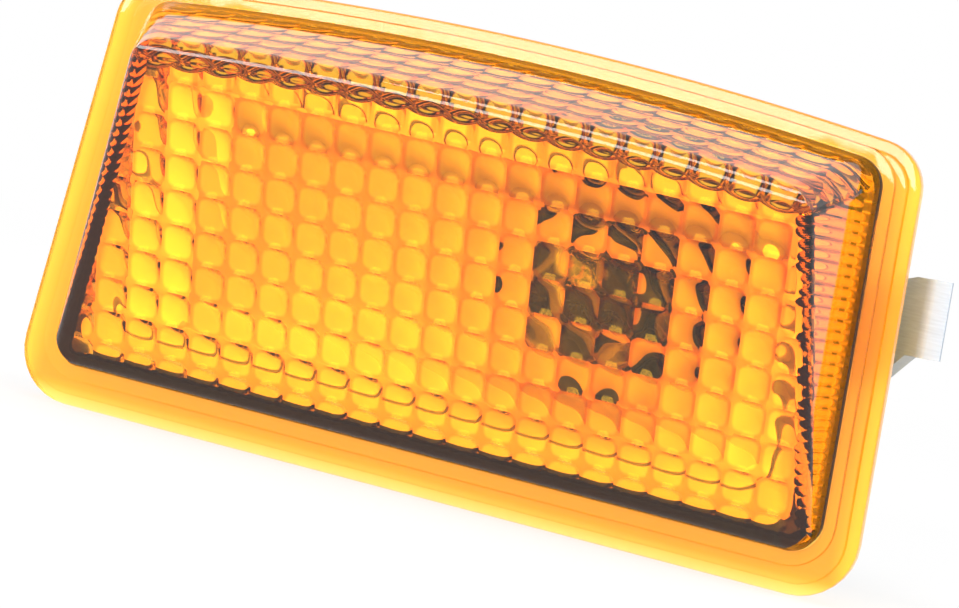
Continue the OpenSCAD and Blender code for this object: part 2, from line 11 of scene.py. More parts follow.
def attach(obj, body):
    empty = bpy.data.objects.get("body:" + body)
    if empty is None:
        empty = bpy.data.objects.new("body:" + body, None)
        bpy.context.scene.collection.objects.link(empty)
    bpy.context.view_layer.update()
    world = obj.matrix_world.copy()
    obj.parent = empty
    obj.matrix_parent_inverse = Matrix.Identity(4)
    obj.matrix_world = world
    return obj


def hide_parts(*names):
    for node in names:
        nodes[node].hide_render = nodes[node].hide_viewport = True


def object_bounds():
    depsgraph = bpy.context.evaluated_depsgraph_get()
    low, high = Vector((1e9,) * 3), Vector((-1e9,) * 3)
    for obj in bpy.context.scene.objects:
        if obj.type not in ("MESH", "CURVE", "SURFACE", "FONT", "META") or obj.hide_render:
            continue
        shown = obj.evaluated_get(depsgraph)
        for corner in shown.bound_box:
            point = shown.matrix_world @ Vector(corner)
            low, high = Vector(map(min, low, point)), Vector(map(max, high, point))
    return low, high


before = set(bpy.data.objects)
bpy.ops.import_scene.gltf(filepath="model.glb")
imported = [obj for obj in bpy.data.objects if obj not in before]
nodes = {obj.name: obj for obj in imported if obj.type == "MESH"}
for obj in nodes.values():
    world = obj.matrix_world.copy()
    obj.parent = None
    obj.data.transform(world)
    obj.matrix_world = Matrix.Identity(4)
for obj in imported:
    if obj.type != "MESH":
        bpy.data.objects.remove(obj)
cad_low, cad_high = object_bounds()
scene = bpy.context.scene

MM = 0.001

# Sizes of the lamp in millimetres, as the part's source has them
FLANGE_W, FLANGE_H, FLANGE_T = 74.6, 40.2, 2.0
SIDE_LEAN = 3.4
ARCH_R = 310.0
FLANGE_R_BOTTOM, FLANGE_R_TOP = 5.0, 4.0
RIM_W, RIM_STEP = 1.0, 0.6
MARGIN_SIDE, MARGIN_BOTTOM, MARGIN_TOP = 3.2, 3.55, 1.8
FOOT_H = 2.3
FACE_TILT, TOP_LEAN, RIGHT_LEAN, LEFT_LEAN, BOTTOM_LEAN = 25.2, 15.3, 10.3, 20.7, 9.0
CORNER_R, EDGE_R = 2.6, 1.3
FOOT_STEP_W, FOOT_STEP_H = 1.2, 0.35
FACE_WALL, SIDE_WALL, TOP_WALL, BOTTOM_WALL = 2.3, 1.8, 2.0, 1.9
PILLOW_W, PILLOW_H, PILLOW_D, PILLOW_RISE = 3.0, 3.26, 2.83, 0.39
PILLOW_SHIFT_X, PILLOW_SHIFT_Y = -0.72, 1.99
PILLOW_EASE, PILLOW_BURY, PILLOW_STEPS = 0.24, 0.15, 10
TOP_ROWS, TOP_SHIFT = 5, 0.17
FLUTE_PITCH, FLUTE_RISE = 0.9, 0.09
GASKET_REBATE = 0.6
BULB_X, BULB_Z = 10.5, 0.19
BULB_D, BULB_L, BULB_TIP = 10.2, 26.8, 4.0
WEDGE_W, WEDGE_T, WEDGE_L = 9.5, 2.1, 7.2
GLASS_WALL, LEAD_R, BEAD_R = 0.55, 0.22, 0.8
COIL_HALF, COIL_R, COIL_TURNS, COIL_WIRE_R, COIL_ARCH = 2.7, 0.32, 16, 0.07, 0.9
# Depth at which the body, its foot and the flange are joined, and how far their blocks reach
JOIN_Y, FAR = -0.5, 90.0
# Softened front edges of the flange's two steps
FLANGE_SOFT = 0.25
# Angle in degrees above which an edge of the moulding stays sharp
CREASE = 28


def sin(a):
    return math.sin(math.radians(a))


def cos(a):
    return math.cos(math.radians(a))


def tan(a):
    return math.tan(math.radians(a))


def unit(v):
    v = np.array(v, float)
    return v / np.linalg.norm(v)


# Planes of the lens body, each as its outward normal and a point on it
FOOT_Y = -FLANGE_T
BODY_HALF = FLANGE_W / 2 - MARGIN_SIDE
BODY_BOTTOM = -FLANGE_H / 2 + MARGIN_BOTTOM
BODY_TOP = FLANGE_H / 2 - MARGIN_TOP
FACE_UP = np.array([0, -sin(FACE_TILT), cos(FACE_TILT)])
FACE_OUT = np.array([0, -cos(FACE_TILT), -sin(FACE_TILT)])
FACE_FOOT = np.array([0, FOOT_Y - FOOT_H, BODY_BOTTOM + FOOT_H * tan(BOTTOM_LEAN)])
RIGHT_N = unit([1, -tan(RIGHT_LEAN), tan(SIDE_LEAN)])
LEFT_N = unit([-1, -tan(LEFT_LEAN), tan(SIDE_LEAN)])
BOTTOM_N = unit([0, -tan(BOTTOM_LEAN), -1])
CROWN_N = unit([0, -sin(TOP_LEAN), cos(TOP_LEAN)])
RIGHT_P = np.array([BODY_HALF, FOOT_Y, 0.0])
LEFT_P = np.array([-BODY_HALF, FOOT_Y, 0.0])
BOTTOM_P = np.array([0, FOOT_Y, BODY_BOTTOM])
CROWN_P = np.array([0, FOOT_Y, BODY_TOP])
FACE_H = float((CROWN_P - FACE_FOOT) @ CROWN_N / (FACE_UP @ CROWN_N))
UNDERCUT = FACE_TILT - TOP_LEAN
X_AXIS = np.array([1.0, 0, 0])

# The inner side of the top wall: a point on it, the way along it to the seat, and how it sags off the middle
ROOF_P = CROWN_P - TOP_WALL * CROWN_N
TOP_BACK = np.array([0, CROWN_N[2], -CROWN_N[1]])
TOP_SAG = 1 / (2 * ARCH_R)
TOP_END = (TOP_ROWS - TOP_SHIFT) * PILLOW_D


def foot_at(depth):
    return FACE_FOOT - depth * FACE_OUT


def meet(n_a, p_a, n_b, p_b):
    """A point that lies on both of two planes."""
    along = n_b - (n_a @ n_b) * n_a
    return p_a + along * (((p_b - p_a) @ n_b) / (along @ n_b))


FACE_BACK_P = foot_at(FACE_WALL)
TOP_EDGE = meet(CROWN_N, ROOF_P, FACE_OUT, FACE_BACK_P)


def arc(centre, r, start, end, steps):
    turn = np.radians(np.linspace(start, end, steps + 1))
    return np.stack([centre[0] + r * np.cos(turn), centre[1] + r * np.sin(turn)], axis=1)


def mesh_object(name, points, faces):
    """An object from points in millimetres and faces that index them."""
    mesh = bpy.data.meshes.new(name)
    mesh.from_pydata([tuple(float(c) * MM for c in p) for p in points], [], [tuple(f) for f in faces])
    mesh.validate()
    thing = bpy.data.objects.new(name, mesh)
    scene.collection.objects.link(thing)
    return thing


def lofted(name, rings):
    """A solid through rings that have the same number of points each."""
    count = len(rings[0])
    points = np.concatenate(rings)
    faces = []
    for k in range(len(rings) - 1):
        low, high = k * count, (k + 1) * count
        for i in range(count):
            j = (i + 1) % count
            faces.append((low + i, low + j, high + j, high + i))
    faces.append(tuple(range(count - 1, -1, -1)))
    faces.append(tuple(range(len(points) - count, len(points))))
    return mesh_object(name, points, faces)


def combined(target, tool, operation):
    """The target with the tool added, cut out or kept in common; the tool is used up."""
    mod = target.modifiers.new(operation, "BOOLEAN")
    mod.operation = operation
    mod.solver = "MANIFOLD"
    mod.object = tool
    graph = bpy.context.evaluated_depsgraph_get()
    made = bpy.data.meshes.new_from_object(target.evaluated_get(graph))
    target.modifiers.clear()
    old = target.data
    target.data = made
    bpy.data.meshes.remove(old)
    bpy.data.objects.remove(tool)


def outline(inset_half, bottom, top, r_bottom, r_top, steps=8):
    """The flange's kind of outline, as x and z: straight bottom, leaning ends, arched top, round corners."""
    lean = tan(SIDE_LEAN)
    arch_z = top - ARCH_R
    low_c = (inset_half - lean * (bottom + r_bottom) - r_bottom / cos(SIDE_LEAN), bottom + r_bottom)
    a = inset_half - r_top / cos(SIDE_LEAN)
    b = a * lean + arch_z
    q = 1 + lean * lean
    high_z = (b + math.sqrt(b * b - q * (a * a + arch_z**2 - (ARCH_R - r_top) ** 2))) / q
    high_c = (a - lean * high_z, high_z)
    turn = math.degrees(math.atan2(high_c[1] - arch_z, high_c[0]))
    right = np.concatenate([
        arc(low_c, r_bottom, -90, SIDE_LEAN, steps),
        arc(high_c, r_top, SIDE_LEAN, turn, steps),
        arc((0, arch_z), ARCH_R, turn, 90, 24),
    ])
    left = right[-2::-1] * [-1, 1]
    return np.concatenate([right, left])


def ring(y, flat):
    return np.stack([flat[:, 0], np.full(len(flat), y), flat[:, 1]], axis=1)


def flange_ring(y, inset):
    return ring(y, outline(
        FLANGE_W / 2 - inset, -FLANGE_H / 2 + inset, FLANGE_H / 2 - inset,
        FLANGE_R_BOTTOM - inset, FLANGE_R_TOP - inset,
    ))


def edge_prism(name, n_a, p_a, n_b, p_b, r, steps=10):
    """Everything on the inner side of two planes, with their edge rounded to radius r."""
    p = meet(n_a, p_a, n_b, p_b)
    d = unit(np.cross(n_a, n_b))
    side = np.cross(d, n_a)
    turn = math.degrees(math.acos(n_a @ n_b))
    t = r * tan(turn / 2)
    far_end = [[-FAR * sin(turn), FAR * cos(turn)], [-FAR, -FAR], [0, -FAR]]
    flat = np.concatenate([far_end, arc((-r, -t), r, 0, turn, steps)])
    face = p + flat[:, :1] * n_a + flat[:, 1:] * side
    return lofted(name, [face - FAR * d, face + FAR * d])


def arched_block(name):
    """Everything behind the front face and under the arched top wall, with their edge rounded."""
    lean, thick = UNDERCUT, 45.0
    t = EDGE_R * tan(45 + lean / 2)
    profile = np.concatenate([
        [[-FAR, -thick], [-thick * tan(lean), -thick]],
        arc((-t, -EDGE_R), EDGE_R, -lean, 90, 10),
        [[-FAR, 0]],
    ])
    rings = []
    for turn in np.linspace(-11, 11, 111):
        r = ARCH_R + profile[:, 0]
        along = r * sin(turn)
        up = r * cos(turn) + FACE_H - ARCH_R
        rings.append(
            FACE_FOOT + along[:, None] * X_AXIS + up[:, None] * FACE_UP
            + profile[:, 1:] * FACE_OUT
        )
    return lofted(name, rings)


def face_corner(n, p):
    """Where an end wall meets the arched rim of the front face."""
    slope = (FACE_UP @ n) / n[0]
    start = ((p - FACE_FOOT) @ n) / n[0]
    centre = FACE_H - ARCH_R
    b = centre + start * slope
    v = (b + math.sqrt(b * b - (1 + slope**2) * (start**2 + centre**2 - ARCH_R**2))) / (1 + slope**2)
    return start - v * slope, v


def arch_normal(u):
    side = u / ARCH_R
    radial = np.array([side, 0, 0]) + math.sqrt(1 - side * side) * FACE_UP
    return unit(cos(UNDERCUT) * radial - sin(UNDERCUT) * FACE_OUT)


def top_corner(name, n, p):
    u, v = face_corner(n, p)
    return edge_prism(name, n, p, arch_normal(u), FACE_FOOT + [u, 0, 0] + v * FACE_UP, CORNER_R)


def half_space(name, y_front, y_back):
    square = np.array([[FAR, -FAR], [FAR, FAR], [-FAR, FAR], [-FAR, -FAR]])
    return lofted(name, [ring(y_back, square), ring(y_front, square)])


def outer_form():
    body = edge_prism("outer", RIGHT_N, RIGHT_P, FACE_OUT, FACE_FOOT, EDGE_R)
    for tool in (
        edge_prism("left front", LEFT_N, LEFT_P, FACE_OUT, FACE_FOOT, EDGE_R),
        edge_prism("bottom front", BOTTOM_N, BOTTOM_P, FACE_OUT, FACE_FOOT, EDGE_R),
        edge_prism("right bottom", RIGHT_N, RIGHT_P, BOTTOM_N, BOTTOM_P, CORNER_R),
        edge_prism("left bottom", LEFT_N, LEFT_P, BOTTOM_N, BOTTOM_P, CORNER_R),
        top_corner("right top", RIGHT_N, RIGHT_P),
        top_corner("left top", LEFT_N, LEFT_P),
        arched_block("arch"),
        half_space("front of the seat", -FAR, JOIN_Y),
    ):
        combined(body, tool, "INTERSECT")
    step, soft = RIM_STEP - FLANGE_T, FLANGE_SOFT
    flange = lofted("flange", [
        flange_ring(0, 0.1), flange_ring(-0.1, 0),
        flange_ring(step + soft, 0), flange_ring(step + 0.3 * soft, 0.3 * soft), flange_ring(step, soft),
        flange_ring(step, RIM_W), flange_ring(-FLANGE_T + soft, RIM_W),
        flange_ring(-FLANGE_T + 0.3 * soft, RIM_W + 0.3 * soft), flange_ring(-FLANGE_T, RIM_W + soft),
    ])
    top_step = min(FOOT_STEP_W, MARGIN_TOP - RIM_W)

    def foot_ring(y, w):
        share = w / FOOT_STEP_W
        return ring(y, outline(
            BODY_HALF + w, BODY_BOTTOM - w, BODY_TOP + top_step * share, CORNER_R + w, CORNER_R + w / 2,
        ))

    foot = lofted("foot", [
        foot_ring(JOIN_Y, FOOT_STEP_W), foot_ring(-FLANGE_T - 0.5 * FOOT_STEP_H, FOOT_STEP_W),
        foot_ring(-FLANGE_T - 0.85 * FOOT_STEP_H, FOOT_STEP_W - 0.08),
        foot_ring(-FLANGE_T - FOOT_STEP_H, FOOT_STEP_W - 0.2),
    ])
    combined(body, flange, "UNION")
    combined(body, foot, "UNION")
    return body


def node(tree, kind, links=None, **settings):
    """Adds a node with its settings; links gives each input a value or the socket that feeds it."""
    made = tree.nodes.new(kind)
    for key, value in settings.items():
        setattr(made, key, value)
    for key, value in (links or {}).items():
        if isinstance(value, bpy.types.NodeSocket):
            tree.links.new(value, made.inputs[key])
        else:
            made.inputs[key].default_value = value
    return made


def ribbed_block_tree():
    """Block whose far side carries rows of round humps: pillows, or flutes where they run one way only."""
    tree = bpy.data.node_groups.new("Ribbed block", "GeometryNodeTree")
    for name, kind, value in (
        ("Columns", "NodeSocketInt", 10), ("Rows", "NodeSocketInt", 1),
        ("Column pitch", "NodeSocketFloat", 1.0), ("Row pitch", "NodeSocketFloat", 1.0),
        ("Column rise", "NodeSocketFloat", 0.1), ("Row rise", "NodeSocketFloat", 0.0),
        ("Corner ease", "NodeSocketFloat", 0.0),
        ("Column steps", "NodeSocketInt", 8), ("Row steps", "NodeSocketInt", 8),
        ("Thickness", "NodeSocketFloat", 1.0), ("Sag", "NodeSocketFloat", 0.0),
        ("Material", "NodeSocketMaterial", None),
    ):
        socket = tree.interface.new_socket(name, in_out="INPUT", socket_type=kind)
        if value is not None:
            socket.default_value = value
    tree.interface.new_socket("Geometry", in_out="OUTPUT", socket_type="NodeSocketGeometry")
    given = node(tree, "NodeGroupInput").outputs
    at = node(tree, "ShaderNodeSeparateXYZ", {0: node(tree, "GeometryNodeInputPosition").outputs[0]}).outputs
    spans, counts, falls, humps = [], [], [], []
    for part, place in (("Column", at["X"]), ("Row", at["Y"])):
        number, pitch, steps = given[part + "s"], given[part + " pitch"], given[part + " steps"]
        span = node(tree, "ShaderNodeMath", {0: number, 1: pitch}, operation="MULTIPLY").outputs[0]
        parts = node(tree, "ShaderNodeMath", {
            0: number, 1: steps, 2: 1.0,
        }, operation="MULTIPLY_ADD").outputs[0]
        begun = node(tree, "ShaderNodeMath", {0: span, 1: 0.5, 2: place}, operation="MULTIPLY_ADD").outputs[0]
        along = node(tree, "ShaderNodeMath", {0: begun, 1: pitch}, operation="DIVIDE").outputs[0]
        share = node(tree, "ShaderNodeMath", {0: along}, operation="FRACT").outputs[0]
        across = node(tree, "ShaderNodeMath", {
            0: share, 1: 2.0, 2: -1.0,
        }, operation="MULTIPLY_ADD").outputs[0]
        fall = node(tree, "ShaderNodeMath", {0: across, 1: across}, operation="MULTIPLY").outputs[0]
        level = node(tree, "ShaderNodeMath", {0: 1.0, 1: fall}, operation="SUBTRACT").outputs[0]
        hump = node(tree, "ShaderNodeMath", {
            0: level, 1: given[part + " rise"],
        }, operation="MULTIPLY").outputs[0]
        falls.append(fall)
        humps.append(hump)
        spans.append(span)
        counts.append(parts)
    size = node(tree, "ShaderNodeCombineXYZ", {"X": spans[0], "Y": spans[1], "Z": given["Thickness"]})
    block = node(tree, "GeometryNodeMeshCube", {
        "Size": size.outputs[0], "Vertices X": counts[0], "Vertices Y": counts[1], "Vertices Z": 2,
    })
    crossed = node(tree, "ShaderNodeMath", {0: humps[0], 1: humps[1]}, operation="ADD").outputs[0]
    corner = node(tree, "ShaderNodeMath", {0: falls[0], 1: falls[1]}, operation="MULTIPLY").outputs[0]
    hump = node(tree, "ShaderNodeMath", {
        0: corner, 1: given["Corner ease"], 2: crossed,
    }, operation="MULTIPLY_ADD").outputs[0]
    far_side = node(tree, "ShaderNodeMath", {0: at["Z"], 1: 0.0}, operation="GREATER_THAN").outputs[0]
    squared = node(tree, "ShaderNodeMath", {0: at["X"], 1: at["X"]}, operation="MULTIPLY").outputs[0]
    sag = node(tree, "ShaderNodeMath", {0: squared, 1: given["Sag"]}, operation="MULTIPLY").outputs[0]
    lift = node(tree, "ShaderNodeMath", {0: hump, 1: far_side, 2: sag}, operation="MULTIPLY_ADD").outputs[0]
    offset = node(tree, "ShaderNodeCombineXYZ", {"Z": lift}).outputs[0]
    shaped = node(tree, "GeometryNodeSetPosition", {"Geometry": block.outputs[0], "Offset": offset})
    real = node(tree, "GeometryNodeRealizeInstances", {"Geometry": shaped.outputs[0]})
    last = node(tree, "GeometryNodeSetMaterial", {"Geometry": real.outputs[0], "Material": given["Material"]})
    tree.links.new(last.outputs[0], node(tree, "NodeGroupOutput").inputs["Geometry"])
    return tree


def ribbed_block(tree, name, frame_axes, start, **sizes):
    """The block with its starting corner line at a point, and its humps along the frame's third axis."""
    carrier = bpy.data.objects.new(name, bpy.data.meshes.new(name))
    scene.collection.objects.link(carrier)
    mod = carrier.modifiers.new("Ribbed block", "NODES")
    mod.node_group = tree
    keys = {item.name: item.identifier for item in tree.interface.items_tree if item.in_out == "INPUT"}
    for key, value in sizes.items():
        mod[keys[key.replace("_", " ").capitalize()]] = value
    graph = bpy.context.evaluated_depsgraph_get()
    mesh = bpy.data.meshes.new_from_object(carrier.evaluated_get(graph))
    wide, high = sizes["columns"] * sizes["column_pitch"], sizes["rows"] * sizes["row_pitch"]
    half = np.array([wide / 2, high / 2, -sizes["thickness"] / 2])
    axes = np.stack(frame_axes, axis=1)
    origin = np.array(start) + axes @ half
    matrix = np.eye(4)
    matrix[:3, :3] = axes * MM
    matrix[:3, 3] = origin * MM
    mesh.transform(Matrix(matrix))
    bpy.data.objects.remove(carrier)
    thing = bpy.data.objects.new(name, mesh)
    scene.collection.objects.link(thing)
    return thing


def hollow():
    """The room inside the lens, with the pillows and flutes left standing."""
    floor_p = BOTTOM_P - BOTTOM_WALL * BOTTOM_N
    right = RIGHT_P - SIDE_WALL * RIGHT_N
    left = LEFT_P - SIDE_WALL * LEFT_N
    inner_r = CORNER_R - SIDE_WALL
    room = edge_prism("hollow", RIGHT_N, right, BOTTOM_N, floor_p, inner_r)
    across = np.linspace(60, -60, 61)
    roof_flat = np.concatenate([
        np.stack([across, -across**2 * TOP_SAG], axis=1), [[-60, -80], [60, -80]],
    ])
    roof = ROOF_P + roof_flat[:, :1] * X_AXIS + roof_flat[:, 1:] * CROWN_N
    square = np.array([[-FAR, -FAR], [FAR, -FAR], [FAR, FAR], [-FAR, FAR]])
    plate = FACE_BACK_P + square[:, :1] * X_AXIS + square[:, 1:] * FACE_UP
    for tool in (
        edge_prism("left room", LEFT_N, left, BOTTOM_N, floor_p, inner_r),
        lofted("roof", [roof + FAR * TOP_BACK, roof - FAR * TOP_BACK]),
        lofted("behind the face", [plate - FAR * FACE_OUT, plate]),
        half_space("open back", -FAR, 1.0),
    ):
        combined(room, tool, "INTERSECT")
    tree = ribbed_block_tree()
    first = math.floor((-BODY_HALF - 2 - PILLOW_SHIFT_X) / PILLOW_W)
    columns = math.ceil((BODY_HALF + 2 - PILLOW_SHIFT_X) / PILLOW_W) - first
    start_x = PILLOW_SHIFT_X + first * PILLOW_W
    rows = math.ceil((FACE_H + 3) / PILLOW_H)
    top_v = PILLOW_SHIFT_Y + (rows - 1) * PILLOW_H
    pillow = dict(
        columns=columns, column_pitch=PILLOW_W, column_steps=PILLOW_STEPS, row_steps=PILLOW_STEPS,
        column_rise=PILLOW_RISE, row_rise=PILLOW_RISE, corner_ease=PILLOW_EASE, thickness=4.0,
    )
    combined(room, ribbed_block(
        tree, "face pillows", (X_AXIS, -FACE_UP, -FACE_OUT),
        FACE_BACK_P + start_x * X_AXIS + top_v * FACE_UP + PILLOW_BURY * FACE_OUT,
        rows=rows, row_pitch=PILLOW_H, **pillow,
    ), "DIFFERENCE")
    combined(room, ribbed_block(
        tree, "top pillows", (X_AXIS, -TOP_BACK, -CROWN_N),
        TOP_EDGE + start_x * X_AXIS + TOP_END * TOP_BACK + PILLOW_BURY * CROWN_N,
        rows=TOP_ROWS, row_pitch=PILLOW_D, sag=TOP_SAG, **pillow,
    ), "DIFFERENCE")
    flute = dict(
        rows=1, column_pitch=FLUTE_PITCH, column_steps=6, row_steps=1, row_pitch=50.0,
        column_rise=FLUTE_RISE, row_rise=0.0, thickness=3.0,
    )
    up_count = math.ceil(FLANGE_H / FLUTE_PITCH)
    long_count = math.ceil(2 * BODY_HALF / FLUTE_PITCH)
    depth = FLANGE_T - GASKET_REBATE
    for name, n, p, slope, count in (
        ("right flutes", RIGHT_N, right, [-tan(RIGHT_LEAN), -1, 0], up_count),
        ("left flutes", LEFT_N, left, [tan(LEFT_LEAN), -1, 0], up_count),
        ("bottom flutes", BOTTOM_N, floor_p, [0, -1, tan(BOTTOM_LEAN)], long_count),
    ):
        forward = unit(slope)
        across = np.cross(n, forward)
        begin = p - depth * np.array(slope) - count * FLUTE_PITCH / 2 * across
        combined(room, ribbed_block(
            tree, name, (across, forward, -n), begin + 0.001 * n, columns=count, **flute,
        ), "DIFFERENCE")
    return room


def smooth_by_angle(thing, degrees):
    thing.data.shade_smooth()
    thing.data.set_sharp_from_angle(angle=math.radians(degrees))


def moulded(thing):
    """Smooth faces with the valleys and edges left sharp, and flat faces kept flat."""
    smooth_by_angle(thing, CREASE)
    mod = thing.modifiers.new("Weighted normals", "WEIGHTED_NORMAL")
    mod.keep_sharp = True
    graph = bpy.context.evaluated_depsgraph_get()
    made = bpy.data.meshes.new_from_object(thing.evaluated_get(graph))
    thing.modifiers.clear()
    thing.data = made


lens = outer_form()
combined(lens, hollow(), "DIFFERENCE")
rebate = outline(BODY_HALF, BODY_BOTTOM, BODY_TOP, CORNER_R, CORNER_R)
combined(lens, lofted("rebate", [ring(1, rebate), ring(-GASKET_REBATE, rebate)]), "DIFFERENCE")
lens.name = "lens_moulding"
moulded(lens)


def revolved(name, profile, steps=64):
    """A closed surface turned round the bulb's axis, from a profile of radius and depth."""
    turn = np.linspace(0, 2 * math.pi, steps, endpoint=False)
    points, faces = [], []
    count = len(profile)
    for a in turn:
        for r, y in profile:
            points.append((BULB_X + r * math.cos(a), y, BULB_Z + r * math.sin(a)))
    for k in range(steps):
        low, high = k * count, ((k + 1) % steps) * count
        for i in range(count - 1):
            faces.append((low + i, low + i + 1, high + i + 1, high + i))
    thing = mesh_object(name, points, faces)
    cleaned(thing)
    return thing


def cleaned(thing):
    """Merges doubles and turns the faces outwards."""
    made = bmesh.new()
    made.from_mesh(thing.data)
    bmesh.ops.remove_doubles(made, verts=made.verts, dist=1e-7)
    bmesh.ops.recalc_face_normals(made, faces=made.faces)
    made.to_mesh(thing.data)
    made.free()


def wire(name, path, r, sides=10):
    """A round wire along a path of points."""
    path = np.array(path, float)
    along = np.gradient(path, axis=0)
    along /= np.linalg.norm(along, axis=1)[:, None]
    normal = np.cross(along[0], [0.3, 0.2, 0.93])
    rings = []
    for p, t in zip(path, along):
        normal = normal - (normal @ t) * t
        normal /= np.linalg.norm(normal)
        side = np.cross(t, normal)
        turn = np.linspace(0, 2 * math.pi, sides, endpoint=False)
        rings.append(p + r * (np.cos(turn)[:, None] * normal + np.sin(turn)[:, None] * side))
    thing = lofted(name, rings)
    cleaned(thing)
    return thing


def bulb_pieces():
    """Hollow glass with its pinched base, two leads and the coiled filament."""
    r, wall = BULB_D / 2, GLASS_WALL
    tip = -BULB_TIP
    end = BULB_L - BULB_TIP
    shoulder = end - WEDGE_L
    turn = np.radians(np.linspace(0, 90, 17))
    outer = [(r * math.sin(a), tip + r - r * math.cos(a)) for a in turn]
    soft = 1.5
    bend = np.radians(np.linspace(0, 90, 7))
    outer += [(r - soft + soft * math.cos(a), shoulder - soft + soft * math.sin(a)) for a in bend]
    outer.append((0, shoulder))
    inner_r = r - wall
    inner = [(inner_r * math.sin(a), tip + wall + inner_r - inner_r * math.cos(a)) for a in turn]
    inner += [(inner_r - 1 + math.cos(a), shoulder - 2.4 + math.sin(a)) for a in bend]
    inner.append((0, shoulder - 1.4))
    glass = revolved("bulb_glass", outer)
    combined(glass, revolved("bulb room", inner), "DIFFERENCE")
    half_w, half_t = WEDGE_W / 2, WEDGE_T / 2
    flat = np.array([[half_w, -half_t], [half_w, half_t], [-half_w, half_t], [-half_w, -half_t]])
    flat[:, 0] += BULB_X
    flat[:, 1] += BULB_Z
    base = lofted("wedge", [ring(end, flat[::-1]), ring(shoulder - 1, flat[::-1])])
    cleaned(base)
    combined(glass, base, "UNION")
    smooth_by_angle(glass, 40)
    top = tip + 5.5
    leads = []
    for side in (-1, 1):
        leads.append(wire("lead", [
            (BULB_X + side * 2.2, shoulder - 1.3, BULB_Z),
            (BULB_X + side * 2.2, shoulder - 6, BULB_Z),
            (BULB_X + side * 2.5, top + 3, BULB_Z),
            (BULB_X + side * COIL_HALF, top, BULB_Z),
        ], LEAD_R))
    coil = []
    steps = COIL_TURNS * 12
    for k in range(steps + 1):
        share = k / steps
        a = 2 * math.pi * COIL_TURNS * share
        arch = COIL_ARCH * math.sin(math.pi * share)
        x = BULB_X - COIL_HALF + 2 * COIL_HALF * share
        coil.append((x, top - arch + COIL_R * math.cos(a), BULB_Z + COIL_R * math.sin(a)))
    filament = wire("bulb_filament", coil, COIL_WIRE_R, 6)
    bead = wire("bead", [(BULB_X + side * COIL_HALF, shoulder - 5, BULB_Z) for side in (-1, 1)], BEAD_R, 14)
    return glass, leads, filament, bead


def joined(name, things):
    """One object from several."""
    made = bmesh.new()
    for thing in things:
        made.from_mesh(thing.data)
    mesh = bpy.data.meshes.new(name)
    made.to_mesh(mesh)
    made.free()
    for thing in things:
        bpy.data.objects.remove(thing)
    whole = bpy.data.objects.new(name, mesh)
    scene.collection.objects.link(whole)
    return whole


def linear(code):
    """Linear colour from an sRGB hex code."""
    parts = [int(code[i:i + 2], 16) / 255 for i in (1, 3, 5)]
    return tuple(c / 12.92 if c <= 0.04045 else ((c + 0.055) / 1.055) ** 2.4 for c in parts) + (1.0,)


def finish_of(name):
    """A new material with its shader, its node tree and the Object coordinates in millimetres."""
    material = bpy.data.materials.new(name)
    material.use_nodes = True
    tree = material.node_tree
    shader = tree.nodes["Principled BSDF"]
    place = node(tree, "ShaderNodeTexCoord").outputs["Object"]
    in_mm = node(tree, "ShaderNodeVectorMath", {0: place, 1: (1000, 1000, 1000)}, operation="MULTIPLY")
    return material, tree, shader, in_mm.outputs[0]


# What the amber takes away from red, green and blue along each millimetre
AMBER_DEPTH = (0.0, 0.05, 0.35)
# Share of a pillow's half width at which the painted shade of its valley begins, and where it is full
VALLEY_SHADE_FROM, VALLEY_SHADE_FULL = 0.74, 0.9
# Of these, the tint of the end walls is painted shade, deeper orange than the pillows.
# Of these, the tint of the valleys between the pillows is painted shade.
PILLOW_TINT, VALLEY_SHADE_TINT, END_WALL_SHADE_TINT = "#FFDA7C", "#FF8C3C", "#FFAE62"
# Of these, the lower-edge tint is a painted reflection of the floor on the flange's lower edge.
# Of these, the rim tint is a painted highlight along the flange's outer rim.
FLANGE_TINT, RIM_HIGHLIGHT_TINT, LOWER_EDGE_REFLECTION_TINT = "#FFC25A", "#FFE46A", "#FFF6CC"
# What the amber lets through of the lamps' light
LIGHT_TINT = "#FBEFC8"
# How deep below the flange's ends its painted rim highlight starts and is full, and the same for the painted
# floor reflection on its pale lower edge
RIM_HIGHLIGHT_FADE, LOWER_EDGE_REFLECTION_FADE = (2.2, 0.6), (1.6, 0.1)
# Depths between which the polish turns into the matt seat
SEAT_FROM, SEAT_FULL = -0.2, -0.05


